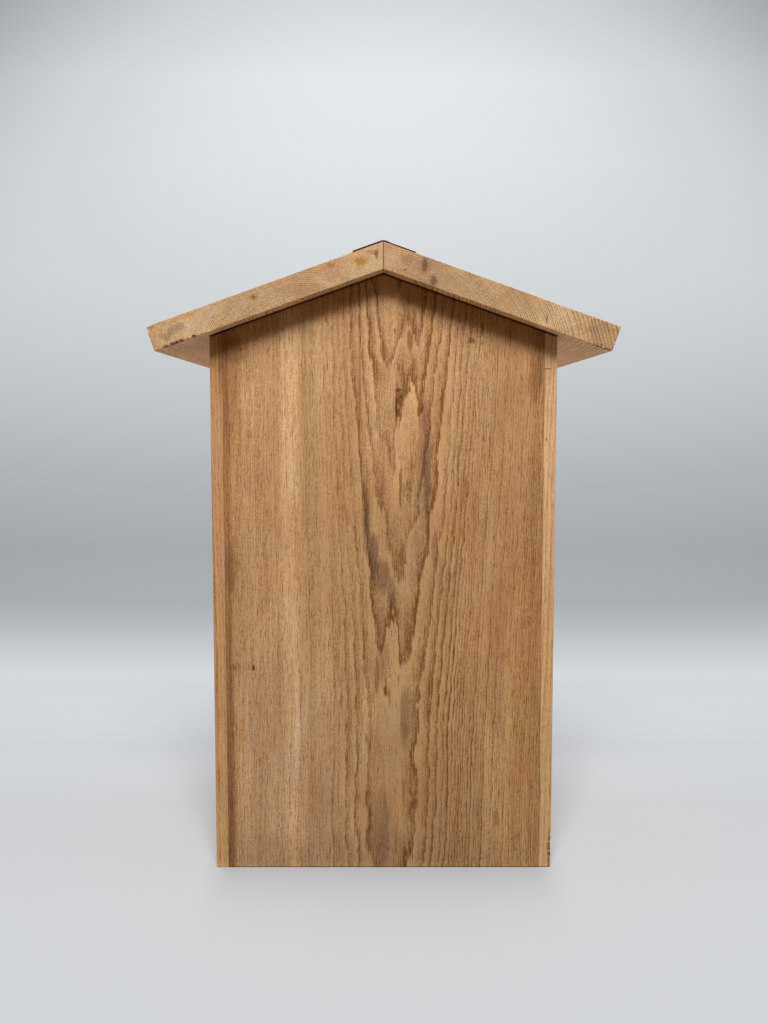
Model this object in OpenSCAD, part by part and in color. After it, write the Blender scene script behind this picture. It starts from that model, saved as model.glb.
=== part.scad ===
// Owl nest box: thin boards on battens, with a shallow gable roof of two mitred boards.
// The origin is at the middle of the base. The plain gable wall faces -Y and the entrance +Y.

/* [Body] */
// Width over the side walls
body_w = 250; // [200:1:360]
// Depth over the gable walls
body_d = 250; // [200:1:360]
// Height of a side wall at its outer face
eave_h = 394; // [340:1:640]
// Thickness of the wall boards
wall_t = 9; // [6:0.5:15]

/* [Roof] */
// Slope of the roof boards, in degrees
roof_pitch = 19.5; // [10:0.5:40]
// Thickness of the roof boards
roof_t = 18; // [12:0.5:28]
// Overhang past a side wall, along the slope
eave_overhang = 37; // [15:1:80]
// Overhang past a gable wall
gable_overhang = 21; // [8:1:60]

/* [Ridge strip] */
// Width of the strip on each slope
strip_w = 24; // [10:1:60]
// Thickness of the strip
strip_t = 1; // [0.5:0.1:3]

/* [Entrance] */
// Diameter of the round entrance
entrance_d = 75; // [45:1:110]
// Distance from the side walls' outer top edge down to the top of the entrance
entrance_drop = 54; // [35:1:120]

/* [Floor] */
// Thickness of the floor board
floor_t = 9; // [6:0.5:18]
// Diameter of a drain hole
drain_d = 10; // [6:0.5:20]
// Distance of a drain hole's centre from the walls' inner faces
drain_inset = 46; // [36:1:60]

/* [Battens] */
// Width and thickness of the battens in the corners
corner_batten = 18; // [10:1:24]
// Width and thickness of the battens under the roof boards
roof_batten = 18; // [10:1:24]
// Width of the battens under the floor
floor_batten_w = 18; // [10:1:24]
// Height of the battens under the floor
floor_batten_h = 12; // [8:1:30]

/* [Hidden] */

LEFT = -1;
RIGHT = 1;
BACK = -1;
FRONT = 1;

cut = 1;                                    // how far a cutter runs past the face it cuts
bore_fn = 96;                               // facets of a drawn bore

in_x = body_w / 2 - wall_t;                 // inner face of a side wall
in_y = body_d / 2 - wall_t;                 // inner face of a gable wall
floor_top = floor_batten_h + floor_t;
entrance_z = eave_h - entrance_drop - entrance_d / 2;
roof_len = body_d + 2 * gable_overhang;
slope_len = body_w / 2 / cos(roof_pitch) + eave_overhang;

down = [cos(roof_pitch), -sin(roof_pitch)]; // unit vector down the right slope
out = [sin(roof_pitch), cos(roof_pitch)];   // unit vector out of the right slope

// Height of the roof boards' underside at a distance x from the ridge line
function underside(x) = eave_h + (body_w / 2 - x) * tan(roof_pitch);
// Height that a thickness t square to the slope takes up when measured plumb
function plumb(t) = t / cos(roof_pitch);

oak = [0.69, 0.52, 0.35];
pale_oak = [0.76, 0.59, 0.41];
end_grain = [0.76, 0.61, 0.43];
felt = [0.20, 0.16, 0.14];

// Extrudes an outline drawn in X and Z over the span from y0 to y1
module span_y(y0, y1) {
    translate([0, y1, 0])
        rotate([90, 0, 0])
            linear_extrude(y1 - y0)
                children();
}

// A gable wall: a board with its top cut to both slopes, held between the side walls
module gable_board(side) {
    y0 = side == BACK ? -body_d / 2 : in_y;
    span_y(y0, y0 + wall_t)
        polygon([
            [-in_x, 0], [in_x, 0], [in_x, underside(in_x)],
            [0, underside(0)], [-in_x, underside(in_x)]
        ]);
}

module back_wall() {
    color(oak) gable_board(BACK);
}

module front_wall() {
    color(oak)
        difference() {
            gable_board(FRONT);
            translate([0, in_y - cut, entrance_z])
                rotate([-90, 0, 0])
                    cylinder(h = wall_t + 2 * cut, d = entrance_d, $fn = bore_fn);
        }
}

// A side wall: runs the whole depth, so its edges show at both gables
module side_board(side) {
    span_y(-body_d / 2, body_d / 2)
        scale_x(side)
            polygon([
                [in_x, 0], [body_w / 2, 0],
                [body_w / 2, eave_h], [in_x, underside(in_x)]
            ]);
}

// Leaves an outline as it is for the right side, and mirrors it for the left
module scale_x(side) {
    if (side == LEFT) mirror([1, 0]) children();
    else children();
}

module left_wall() {
    color(pale_oak) side_board(LEFT);
}

module right_wall() {
    color(pale_oak) side_board(RIGHT);
}

// The floor lies on the floor battens between the four walls
module floor_board() {
    color(oak)
        difference() {
            translate([-in_x, -in_y, floor_batten_h])
                cube([2 * in_x, 2 * in_y, floor_t]);
            for (x = [-1, 1], y = [-1, 1])
                translate([x * (in_x - drain_inset), y * (in_y - drain_inset), floor_batten_h - cut])
                    cylinder(h = floor_t + 2 * cut, d = drain_d, $fn = bore_fn);
        }
}

// A roof board: mitred plumb at the ridge and cut square at the eave
module roof_board(side) {
    ridge = [0, underside(0)];
    eave = ridge + slope_len * down;
    color(end_grain)
        span_y(-roof_len / 2, roof_len / 2)
            scale_x(side)
                polygon([
                    ridge, eave, eave + roof_t * out, ridge + [0, plumb(roof_t)]
                ]);
}

// A thin strip bent over the ridge, which covers the mitre joint
module ridge_strip() {
    peak = [0, underside(0) + plumb(roof_t)];
    edge = peak + strip_w * down;
    rim = edge + strip_t * out;
    color(felt)
        span_y(-roof_len / 2, roof_len / 2)
            polygon([
                peak, edge, rim, peak + [0, plumb(strip_t)],
                [-rim.x, rim.y], [-edge.x, edge.y]
            ]);
}

// A batten up the inside of a corner, from the floor to the roof batten
module corner_batten_at(gable, side) {
    y0 = gable == BACK ? -in_y : in_y - corner_batten;
    x1 = in_x - corner_batten;
    color(pale_oak)
        span_y(y0, y0 + corner_batten)
            scale_x(side)
                polygon([
                    [in_x, floor_top], [x1, floor_top],
                    [x1, underside(x1) - plumb(roof_batten)],
                    [in_x, underside(in_x) - plumb(roof_batten)]
                ]);
}

// A batten inside a gable wall, under a roof board
module roof_batten_at(gable, side) {
    y0 = gable == BACK ? -in_y : in_y - roof_batten;
    drop = [0, plumb(roof_batten)];
    color(pale_oak)
        span_y(y0, y0 + roof_batten)
            scale_x(side)
                polygon([
                    [0, underside(0)], [in_x, underside(in_x)],
                    [in_x, underside(in_x)] - drop, [0, underside(0)] - drop
                ]);
}

// A batten along the foot of a side wall, which carries the floor
module side_floor_batten(side) {
    x0 = side == LEFT ? -in_x : in_x - floor_batten_w;
    color(pale_oak)
        translate([x0, -in_y, 0])
            cube([floor_batten_w, 2 * in_y, floor_batten_h]);
}

// A batten along the foot of a gable wall, between the two side battens
module gable_floor_batten(gable) {
    y0 = gable == BACK ? -in_y : in_y - floor_batten_w;
    half = in_x - floor_batten_w;
    color(pale_oak)
        translate([-half, y0, 0])
            cube([2 * half, floor_batten_w, floor_batten_h]);
}

back_wall();
front_wall();
left_wall();
right_wall();
floor_board();  // floor
roof_board(LEFT);  // roof_left
roof_board(RIGHT);  // roof_right
ridge_strip();
corner_batten_at(BACK, LEFT);  // corner_batten_back_left
corner_batten_at(BACK, RIGHT);  // corner_batten_back_right
corner_batten_at(FRONT, LEFT);  // corner_batten_front_left
corner_batten_at(FRONT, RIGHT);  // corner_batten_front_right
roof_batten_at(BACK, LEFT);  // roof_batten_back_left
roof_batten_at(BACK, RIGHT);  // roof_batten_back_right
roof_batten_at(FRONT, LEFT);  // roof_batten_front_left
roof_batten_at(FRONT, RIGHT);  // roof_batten_front_right
side_floor_batten(LEFT);  // floor_batten_left
side_floor_batten(RIGHT);  // floor_batten_right
gable_floor_batten(BACK);  // floor_batten_back
gable_floor_batten(FRONT);  // floor_batten_front
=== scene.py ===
import math

import bmesh
import bpy
import numpy as np
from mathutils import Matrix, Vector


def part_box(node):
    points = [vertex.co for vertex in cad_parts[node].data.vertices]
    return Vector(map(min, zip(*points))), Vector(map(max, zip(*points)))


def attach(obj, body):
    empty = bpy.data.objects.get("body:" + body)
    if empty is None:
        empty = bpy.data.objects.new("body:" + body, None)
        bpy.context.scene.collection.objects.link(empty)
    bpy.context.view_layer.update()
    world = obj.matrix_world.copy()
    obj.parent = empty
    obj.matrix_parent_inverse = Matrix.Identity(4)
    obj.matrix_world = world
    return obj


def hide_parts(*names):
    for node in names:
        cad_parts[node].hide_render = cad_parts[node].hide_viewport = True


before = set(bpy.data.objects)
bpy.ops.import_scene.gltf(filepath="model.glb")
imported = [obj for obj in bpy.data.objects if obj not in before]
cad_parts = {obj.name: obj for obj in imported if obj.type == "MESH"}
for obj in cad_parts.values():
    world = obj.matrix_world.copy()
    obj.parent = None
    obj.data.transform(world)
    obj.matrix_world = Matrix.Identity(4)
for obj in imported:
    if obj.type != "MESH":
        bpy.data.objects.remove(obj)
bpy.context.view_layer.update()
print("frame loaded")


# sizes read from the frame, in millimetres

def nodeBox(node):
    # a node's lowest and highest corners, turned from metres into millimetres
    low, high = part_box(node)
    return np.array(low) * 1000, np.array(high) * 1000


gableLow, gableHigh = nodeBox("back_wall")
sideLow, sideHigh = nodeBox("right_wall")
roofLow, roofHigh = nodeBox("roof_right")
stripHigh = nodeBox("ridge_strip")[1]

outerX, innerX = sideHigh[0], sideLow[0]
outerY, innerY = gableLow[1], gableHigh[1]  # the plain gable, so both are negative
roofPitch = math.atan2(gableHigh[2] - sideHigh[2], innerX)
slope, rise, steep = math.cos(roofPitch), math.sin(roofPitch), math.tan(roofPitch)
ridgeZ = gableHigh[2]  # underside of the roof boards where they meet
roofT = (roofHigh[2] - ridgeZ) * slope
roofLength = (roofHigh[0] - roofT * rise) / slope  # down the slope, along the underside
stripT = (stripHigh[2] - roofHigh[2]) * slope
stripReach = (stripHigh[0] - stripT * rise) / slope
roofFront = roofLow[1]


def underside(x):
    # the height under the roof: the ridge's, less the distance from it times the slope's tangent
    return ridgeZ - np.abs(x) * steep


def onRoof(side, s, t, y=roofFront):
    # the place s down the slope from the ridge and t above the underside, both turned by the roof's pitch
    return side * (s * slope + t * rise), y, ridgeZ - s * rise + t * slope


# meshes

def waves(points, size, seed, count=10):
    # smooth noise of about unit spread: a sum of sine waves, each with its own seeded direction and length
    random = np.random.default_rng(seed)
    heading = random.normal(size=(count, 3))
    heading /= np.linalg.norm(heading, axis=1)[:, None] * size * random.uniform(0.6, 1.7, count)[:, None]
    turns = points @ heading.T * 2 * math.pi + random.uniform(0, 6.28, count)
    return np.sin(turns).sum(1) * math.sqrt(2 / count)


def gridLine(low, high, step, ease, fine=()):
    # places along one side of a box: five through each eased edge, even steps between, closer ones where
    # asked
    edge = np.array([0, 0.3, 0.65, 1.0, 1.5]) * ease
    first, last = low + edge[-1], high - edge[-1]
    inner = [np.linspace(first, last, max(2, math.ceil((last - first) / step) + 1))[1:-1]]
    inner += [np.arange(centre - reach, centre + reach, gap) for centre, reach, gap in fine]
    inner = np.sort(np.concatenate(inner))
    inner = inner[(inner > first + 0.05) & (inner < last - 0.05)]
    inner = inner[np.append(True, np.diff(inner) > 0.1)] if len(inner) else inner
    return np.concatenate([low + edge, inner, high - edge[::-1]])


def easedBox(low, high, steps, ease, fine=((), (), ())):
    # the skin of a box on six grids. Each point is pulled to the easing's distance from a smaller inner box,
    # so every edge and corner is round. Gives points, normals, how far each point is on an edge, and quads
    lines = [gridLine(low[k], high[k], steps[k], ease, fine[k]) for k in range(3)]
    parts, quads, count = [], [], 0
    for axis in range(3):
        i, j = (axis + 1) % 3, (axis + 2) % 3
        a, b = np.meshgrid(lines[i], lines[j], indexing="ij")
        index = np.arange(a.size).reshape(a.shape)
        quad = np.stack([index[:-1, :-1], index[1:, :-1], index[1:, 1:], index[:-1, 1:]], -1).reshape(-1, 4)
        for end in (0, -1):
            grid = np.empty(a.shape + (3,))
            grid[..., i], grid[..., j], grid[..., axis] = a, b, lines[axis][end]
            parts.append(grid.reshape(-1, 3))
            quads.append((quad if end else quad[:, ::-1]) + count)
            count += a.size
    keys = np.round(np.concatenate(parts) * 1e4).astype(np.int64)
    keys, weld = np.unique(keys, axis=0, return_inverse=True)
    points = keys / 1e4
    quads = weld.reshape(-1)[np.concatenate(quads)]
    core = np.clip(points, np.array(low) + ease, np.array(high) - ease)
    away = points - core
    reach = np.linalg.norm(away, axis=1, keepdims=True)
    normals = away / reach
    onEdge = np.clip((reach[:, 0] / ease - 1) / (math.sqrt(2) - 1), 0, 1)
    return core + normals * ease, normals, onEdge, quads


def bite(points, normals, centre, reach, depth, seed, ragged=0.6):
    # wood torn away: points near the centre go in along their normals by depth * (1 - far^2), roughened by
    # noise
    far = np.linalg.norm((points - np.array(centre)) / np.array(reach), axis=1)
    share = np.clip(1 - far ** 2, 0, 1) * (1 + ragged * waves(points, 1.6, seed))
    return points - normals * (np.clip(share, 0, 1.4) * depth)[:, None]


def addObject(name, data):
    # a new object in the scene's own collection
    added = bpy.data.objects.new(name, data)
    bpy.context.scene.collection.objects.link(added)
    return added


def addPiece(name, points, faces, material, replaced=(), onEdge=None, inJoint=None,
             sheltered=None):
    # puts millimetre points into a mesh in metres, turned the right way round by the volume it encloses
    mesh = bpy.data.meshes.new(name)
    mesh.from_pydata((points * 0.001).tolist(), [], faces)
    shape = bmesh.new()
    shape.from_mesh(mesh)
    if shape.calc_volume(signed=True) < 0:
        bmesh.ops.reverse_faces(shape, faces=shape.faces)
    shape.to_mesh(mesh)
    shape.free()
    mesh.shade_smooth()
    mesh.materials.append(material)
    for label, values in (("edge", onEdge), ("joint", inJoint), ("sheltered", sheltered)):
        if values is not None:
            mesh.attributes.new(label, "FLOAT", "POINT").data.foreach_set("value", values)
    piece = addObject(name, mesh)
    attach(piece, "root")
    if replaced:
        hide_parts(*replaced)


# node helpers

def paint(red, green, blue):
    # a colour as a screen shows it, 0 to 255, to the linear values that nodes use
    share = np.array([red, green, blue]) / 255
    linear = np.where(share <= 0.04045, share / 12.92, ((share + 0.055) / 1.055) ** 2.4)
    return (*linear.tolist(), 1.0)


def feed(tree, sockets, values):
    # gives each named socket its number or colour, or links it where the value is another node's output
    for name, value in values.items():
        if isinstance(value, bpy.types.NodeSocket):
            tree.links.new(value, sockets[name])
        else:
            sockets[name].default_value = value


def put(tree, kind, values=None, **settings):
    # a node of one kind, with its settings and its inputs' values
    node = tree.nodes.new("ShaderNode" + kind)
    for name, value in settings.items():
        setattr(node, name, value)
    feed(tree, node.inputs, values or {})
    return node


def treeOf(*values):
    # the node tree of whichever values are other nodes' outputs
    return next(value.id_data for value in values if isinstance(value, bpy.types.NodeSocket))


def calc(operation, *values, clamp=False):
    # one step of arithmetic on numbers
    values = dict(enumerate(values))
    return put(treeOf(*values.values()), "Math", values, operation=operation, use_clamp=clamp).outputs[0]


def times(first, second, clamp=False):
    # the product
    return calc("MULTIPLY", first, second, clamp=clamp)


def scaleAdd(value, factor, added, clamp=False):
    # value times factor, plus added
    return calc("MULTIPLY_ADD", value, factor, added, clamp=clamp)


def minus(first, second):
    # the first less the second
    return calc("SUBTRACT", first, second)


def calcVector(operation, *values):
    # one step of arithmetic on vectors
    return put(treeOf(*values), "VectorMath", dict(enumerate(values)), operation=operation).outputs[0]


def lengthOf(vector):
    # the root of the sum of the three squares
    return put(treeOf(vector), "VectorMath", {0: vector}, operation="LENGTH").outputs[1]


def split(vector):
    # a vector's X, Y and Z
    return put(treeOf(vector), "SeparateXYZ", {0: vector}).outputs


def combine(x, y, z=0.0):
    # one vector of three numbers
    return put(treeOf(x, y), "CombineXYZ", {0: x, 1: y, 2: z}).outputs[0]


def fade(value, start, end, low=0.0, high=1.0):
    # low to high as the value goes from start to end, eased as 3t^2 - 2t^3
    values = {"Value": value, "From Min": start, "From Max": end, "To Min": low, "To Max": high}
    return put(treeOf(value), "MapRange", values, interpolation_type="SMOOTHSTEP").outputs[0]


def mixColor(factor, first, second, mode="MIX"):
    # the first colour, turned into its blend with the second by the factor
    values = {0: factor, 6: first, 7: second}
    return put(treeOf(*values.values()), "Mix", values, data_type="RGBA", blend_type=mode).outputs[2]


def tinted(color, factor):
    # the colour times the factor
    return mixColor(1.0, color, factor, "MULTIPLY")


def ramp(value, stops):
    # colours at places from 0 to 1, with straight lines between
    node = put(treeOf(value), "ValToRGB", {0: value})
    elements = node.color_ramp.elements
    elements[0].position, elements[0].color = stops[0]
    elements[1].position, elements[1].color = stops[-1]
    for place, color in stops[1:-1]:
        elements.new(place).color = color
    return node.outputs[0]


def noise(point, size, detail=1.0, roughness=0.5):
    # noise from 0 to 1 whose lumps have about the given size along each axis
    scaled = calcVector("DIVIDE", point, size)
    values = {"Vector": scaled, "Scale": 1.0, "Detail": detail, "Roughness": roughness}
    return put(treeOf(point), "TexNoise", values).outputs[0]


def swing(value):
    # 0..1 to -1..1
    return scaleAdd(value, 2.0, -1.0)


def newGroup(name, inputs, outputs):
    # a node group whose sockets take their kind from the default values. Gives it, its inputs and its outputs
    group = bpy.data.node_groups.new(name, "ShaderNodeTree")
    for label, value in inputs.items():
        kind = "Float" if isinstance(value, (int, float)) else "Vector" if len(value) == 3 else "Color"
        socket = group.interface.new_socket(label, in_out="INPUT", socket_type="NodeSocket" + kind)
        socket.default_value = value
    for label, kind in outputs.items():
        group.interface.new_socket(label, in_out="OUTPUT", socket_type="NodeSocket" + kind)
    return group, group.nodes.new("NodeGroupInput").outputs, group.nodes.new("NodeGroupOutput").inputs


def useGroup(tree, group, values):
    # one use of a node group, as its outputs
    return put(tree, "Group", values, node_tree=group).outputs


def newMaterial(name, turn=(0, 0, 0)):
    # a material, its node tree and shader, and the place on the object in millimetres
    material = bpy.data.materials.new(name)
    material.use_nodes = True
    tree = material.node_tree
    place = put(tree, "TexCoord").outputs["Object"]
    point = put(tree, "Mapping", {"Vector": place, "Rotation": turn, "Scale": (1000, 1000, 1000)}).outputs[0]
    return material, tree, tree.nodes["Principled BSDF"], point


# wood

plainWood = {
    "Pith": (60.0, 20.0, 0.0), "Lean": (0.01, 0.02, 0.0), "Ring Width": 1.9, "Growth": 0.0005, "Tighten": 0.0,
    "Tighten From": 90.0, "Swell": 0.0, "Bend": 2.0, "Swirl": 0.0, "Ripple": 0.3, "Comb": 0.15, "Lines": 0.5,
    "Broken": 0.6, "Patchy": 0.4, "Ring Tone": 0.1, "Pores": 0.6, "Fibres": 0.6, "Grit": 0.6, "Flecks": 0.3,
    "Rays": 0.05, "Mottle": 0.2, "Tone": 0.2, "Hue": 0.8, "Seed": 8.0, "Wear": 0.5,
    "Pale": paint(204, 161, 111), "Deep": paint(134, 90, 52), "Blush": paint(194, 146, 98),
    "Pore Color": paint(104, 66, 32), "Fleck Color": paint(222, 186, 142), "Rubbed": paint(222, 184, 138),
    # painted light: this factor brightens the roof boards' undersides under the eaves
    "Under Roof": (1.48, 1.53, 1.52, 1.0),
}
edgeValues = ("Wear", "Rubbed", "Under Roof")  # those of a timber's values that go to its edges, and its painted light and shade under the roof


def figureValues(figure):
    # a timber's values without those of its edges
    return {name: value for name, value in figure.items() if name not in edgeValues}


def makeWoodFigure():
    # solid wood with its grain along Z: growth rings round a leaning pith, with pores, rays and fibres. Rings
    # are counted as log(1 + growth * radius) / (growth * ring width), so they narrow outwards. Point is in mm
    inputs = {"Point": (0.0, 0.0, 0.0), **figureValues(plainWood)}
    outputs = {"Color": "Color", "Roughness": "Float", "Height": "Float"}
    group, given, result = newGroup("woodFigure", inputs, outputs)
    up = split(given["Point"])[2]
    lean = put(group, "VectorMath", {0: given["Lean"], "Scale": up}, operation="SCALE").outputs[0]
    centred = calcVector("SUBTRACT", calcVector("SUBTRACT", given["Point"], given["Pith"]), lean)
    shift = combine(times(given["Seed"], 37.1), 0.0, times(given["Seed"], 511.3))
    spot = calcVector("ADD", given["Point"], shift)

    across = split(centred)
    radius = lengthOf(combine(across[0], across[1]))
    radius = calc("ADD", radius, given["Swell"])
    for label, size, detail in (("Bend", (60, 60, 190), 1.5), ("Swirl", (24, 24, 85), 1.0),
                                ("Ripple", (9, 9, 22), 2.5), ("Comb", (0.9, 0.9, 9), 1.5)):
        wander = swing(noise(spot, size, detail))
        radius = scaleAdd(wander, given[label], radius)
    past = minus(radius, given["Tighten From"])
    past = times(past, fade(past, 0.0, 12.0))  # rings lie closer, or wider, further out
    radius = scaleAdd(past, given["Tighten"], radius)
    grown = scaleAdd(radius, given["Growth"], 1.0)
    turns = calc("DIVIDE", calc("LOGARITHM", grown, math.e), times(given["Growth"], given["Ring Width"]))
    uneven = put(group, "TexNoise", {"W": times(turns, 0.23), "Scale": 1.0, "Detail": 1.0},
                 noise_dimensions="1D").outputs[0]
    turns = scaleAdd(uneven, 0.8, turns)
    phase = calc("FRACT", turns)
    ringTone = put(group, "TexWhiteNoise", {"W": calc("ADD", calc("FLOOR", turns), given["Seed"])},
                   noise_dimensions="1D").outputs[0]
    late = fade(phase, 0.2, 0.8, 0.0, 0.5)  # a ring darkens outwards, then ends sharply
    late = scaleAdd(fade(phase, 0.6, 0.93), 0.55, late)
    late = times(late, fade(phase, 1.0, 0.89))
    early = fade(phase, 0.35, 0.05)

    poreShare = scaleAdd(late, -0.08, 0.665)
    pores = minus(noise(spot, (0.45, 0.45, 8.5), 1.0), poreShare)
    pores = fade(pores, 0.0, 0.07)
    dashes = fade(noise(spot, (0.6, 0.6, 15.0), 1.5), 0.38, 0.62)
    fibres = swing(noise(spot, (0.7, 0.7, 20.0), 2.5, 0.65))
    grit = swing(noise(spot, (1.1, 1.1, 1.5), 1.5, 0.7))
    flecks = fade(noise(spot, (1.5, 1.5, 0.9), 0.5), 0.70, 0.80)
    angle = calc("ARCTAN2", across[1], across[0])
    rayPoint = combine(times(angle, 110.0), times(radius, 0.07), times(up, 0.16))
    rays = swing(put(group, "TexNoise", {"Vector": rayPoint, "Scale": 1.0, "Detail": 1.0}).outputs[0])
    mottle = swing(noise(spot, (15, 15, 130), 2.0))
    patch = fade(noise(spot, (13, 13, 55), 1.0), 0.35, 0.62)
    patch = scaleAdd(minus(patch, 1.0), given["Patchy"], 1.0)

    lines = times(late, scaleAdd(ringTone, 0.7, 0.55))
    broken = scaleAdd(minus(dashes, 1.0), given["Broken"], 1.0)
    lines = times(lines, times(broken, patch))
    lines = scaleAdd(early, -0.12, lines)
    dark = scaleAdd(lines, given["Lines"], given["Tone"])
    unlike = minus(ringTone, 0.5)
    for label, value in (("Ring Tone", unlike), ("Fibres", fibres), ("Grit", grit), ("Rays", rays)):
        dark = scaleAdd(value, given[label], dark)
    dark = scaleAdd(mottle, given["Mottle"], dark, clamp=True)
    blush = fade(noise(spot, (26, 26, 90), 1.5), 0.4, 0.7)
    color = mixColor(blush, given["Pale"], given["Blush"])
    hue = fade(noise(spot, (8, 8, 40), 2.0), 0.3, 0.7)
    hue = mixColor(hue, (1.03, 1.0, 0.91, 1.0), (0.97, 1.0, 1.09, 1.0))
    color = mixColor(given["Hue"], color, hue, "MULTIPLY")
    color = mixColor(dark, color, given["Deep"])
    poreMask = times(pores, given["Pores"], clamp=True)
    color = mixColor(poreMask, color, given["Pore Color"])
    flecks = times(flecks, given["Flecks"], clamp=True)
    color = mixColor(flecks, color, given["Fleck Color"])
    height = scaleAdd(poreMask, -0.06, times(dark, -0.04))
    height = scaleAdd(grit, 0.02, height)
    feed(group, result, {"Color": color, "Roughness": scaleAdd(poreMask, 0.2, 0.6), "Height": height})
    return group


def makeRaggedPatch():
    # one where a patch lies on the wood, fading out past its half sizes with an edge torn along the grain
    group, given, result = newGroup("raggedPatch", {
        "Point": (0.0, 0.0, 0.0), "Centre": (0.0, 0.0, 0.0), "Reach": (1.0, 1.0, 1.0), "Ragged": 0.3,
    }, {"Mask": "Float"})
    away = calcVector("SUBTRACT", given["Point"], given["Centre"])
    far = lengthOf(calcVector("DIVIDE", away, given["Reach"]))
    torn = swing(noise(given["Point"], (1.6, 1.6, 11.0), 2.0))
    far = scaleAdd(torn, given["Ragged"], far)
    group.links.new(fade(far, 1.2, 0.6), result["Mask"])
    return group


def makeEdgeWear():
    # rubbed edges, paler where the easing is and broken up by noise; painted light and shade under the roof,
    # as a factor on the colour; and painted shade in the creases where one board meets another
    group, given, result = newGroup("edgeWear", {
        "Color": (1.0, 1.0, 1.0, 1.0), "Point": (0.0, 0.0, 0.0), "Edge": 0.0, "Amount": 0.5,
        "Rubbed": (1.0, 1.0, 1.0, 1.0), "Joint": 0.0, "Dirt": (0.22, 0.11, 0.05, 1.0),
        "Sheltered": 0.0, "Fresh": (1.0, 1.0, 1.0, 1.0),
    }, {"Color": "Color"})
    broken = fade(noise(given["Point"], (2.5, 2.5, 6.0), 2.0), 0.3, 0.65)
    mask = times(times(given["Edge"], given["Amount"]), broken, clamp=True)
    color = mixColor(mask, given["Color"], given["Rubbed"])
    color = mixColor(given["Sheltered"], color, given["Fresh"], "MULTIPLY")
    group.links.new(mixColor(given["Joint"], color, given["Dirt"], "MULTIPLY"), result["Color"])
    return group


woodFigure = makeWoodFigure()
raggedPatch = makeRaggedPatch()
edgeWear = makeEdgeWear()


def intoGrain(vector, alongY, size=False):
    # a place, or a size, in the object's axes, to the wood's own: a roof board's grain runs along Y
    x, y, z = vector
    return (x, y, z) if not alongY else (x, z, y) if size else (x, -z, y)


def timber(name, figure, marks=(), calm=(), swells=(), alongY=False):
    # bare wood. marks: (centre, half sizes, ragged, strength, factor on the colour); calm: patches with faint
    # rings; swells: patches where the rings bulge out by so many mm
    turn = (math.radians(90), 0, 0) if alongY else (0, 0, 0)
    material, tree, surface, point = newMaterial(name, turn)

    def patch(centre, reach, ragged, strength):
        # a ragged patch's mask times its strength
        mask = useGroup(tree, raggedPatch, {
            "Point": point, "Centre": intoGrain(centre, alongY), "Reach": intoGrain(reach, alongY, True),
            "Ragged": ragged})["Mask"]
        return times(mask, strength)

    values = figureValues(figure)
    values["Pith"] = intoGrain(values["Pith"], alongY)
    values["Lean"] = intoGrain(values["Lean"], alongY)
    for place in calm:
        values["Lines"] = times(minus(1.0, patch(*place)), values["Lines"])
    for place in swells:
        values["Swell"] = calc("ADD", patch(*place), values["Swell"])
    wood = useGroup(tree, woodFigure, {"Point": point, **values})
    color = wood["Color"]
    for centre, reach, ragged, strength, factor in marks:
        color = mixColor(patch(centre, reach, ragged, strength), color, (*factor, 1), "MULTIPLY")
    # the edges' wear, with painted light and shade under the roof and painted shade in the creases
    wear = {"Color": color, "Point": point, "Amount": figure["Wear"], "Rubbed": figure["Rubbed"],
            "Fresh": figure["Under Roof"]}
    for label in ("Edge", "Joint", "Sheltered"):
        wear[label] = put(tree, "Attribute", attribute_name=label.lower()).outputs["Fac"]
    color = useGroup(tree, edgeWear, wear)["Color"]
    bump = put(tree, "Bump", {"Height": wood["Height"], "Distance": 0.001, "Strength": 1.0}).outputs[0]
    feed(tree, surface.inputs, {"Base Color": color, "Roughness": wood["Roughness"], "Normal": bump,
                                "Specular IOR Level": 0.25})
    return material


def layMarks(rows, onFace, depth):
    # marks from rows of the place across and up a face, half sizes across and up, raggedness, strength,
    # factor on the colour and, where it isn't the face's usual depth, the half size into the wood
    return [(onFace(across, up), (wide, *(own or [depth]), high), ragged, strength, factor)
            for across, up, wide, high, ragged, strength, factor, *own in rows]


def onGable(x, z):
    # a place on the plain gable's face
    return x, outerY, z


gableFigure = {
    **plainWood, "Pith": (4.0, outerY + 86.0, 0.0), "Lean": (0.022, -0.034, 0.0), "Ring Width": 2.3,
    "Bend": 1.0, "Tighten": 0.8, "Tighten From": 88.0, "Swirl": 0.8, "Ripple": 1.2, "Comb": 0.6, "Lines": 1.1,
    "Broken": 0.45, "Patchy": 0.3, "Ring Tone": 0.2, "Pores": 0.8, "Flecks": 0.35, "Mottle": 0.3, "Hue": 0.65,
    "Seed": 11.0,
    "Pale": paint(199, 158, 112), "Blush": paint(189, 144, 98), "Deep": paint(122, 78, 31),
    "Pore Color": paint(102, 62, 22), "Fleck Color": paint(226, 196, 160),
    "Under Roof": (0.84, 0.71, 0.47, 1.0),  # painted shade: darker and warmer down the gable's top, where the roof's shadow falls
}
gableSwells = [
    ((16, outerY, 350), (9, 30, 84), 0.1, 1.6),
    ((6, outerY, 172), (6, 30, 36), 0.1, 1.5),
    ((0, outerY, -100), (160, 90, 200), 0.02, -3.4),
]
gableCalm = [
    ((-80, outerY, 220), (62, 90, 500), 0.1, 0.85),
    ((92, outerY, 220), (42, 90, 500), 0.2, 0.55),
    ((0, outerY, 326), (10, 90, 42), 0.3, 0.75),
    ((18, outerY, 45), (13, 90, 65), 0.3, -0.8),
    ((60, outerY, 90), (14, 90, 170), 0.3, -0.35),
]
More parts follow.
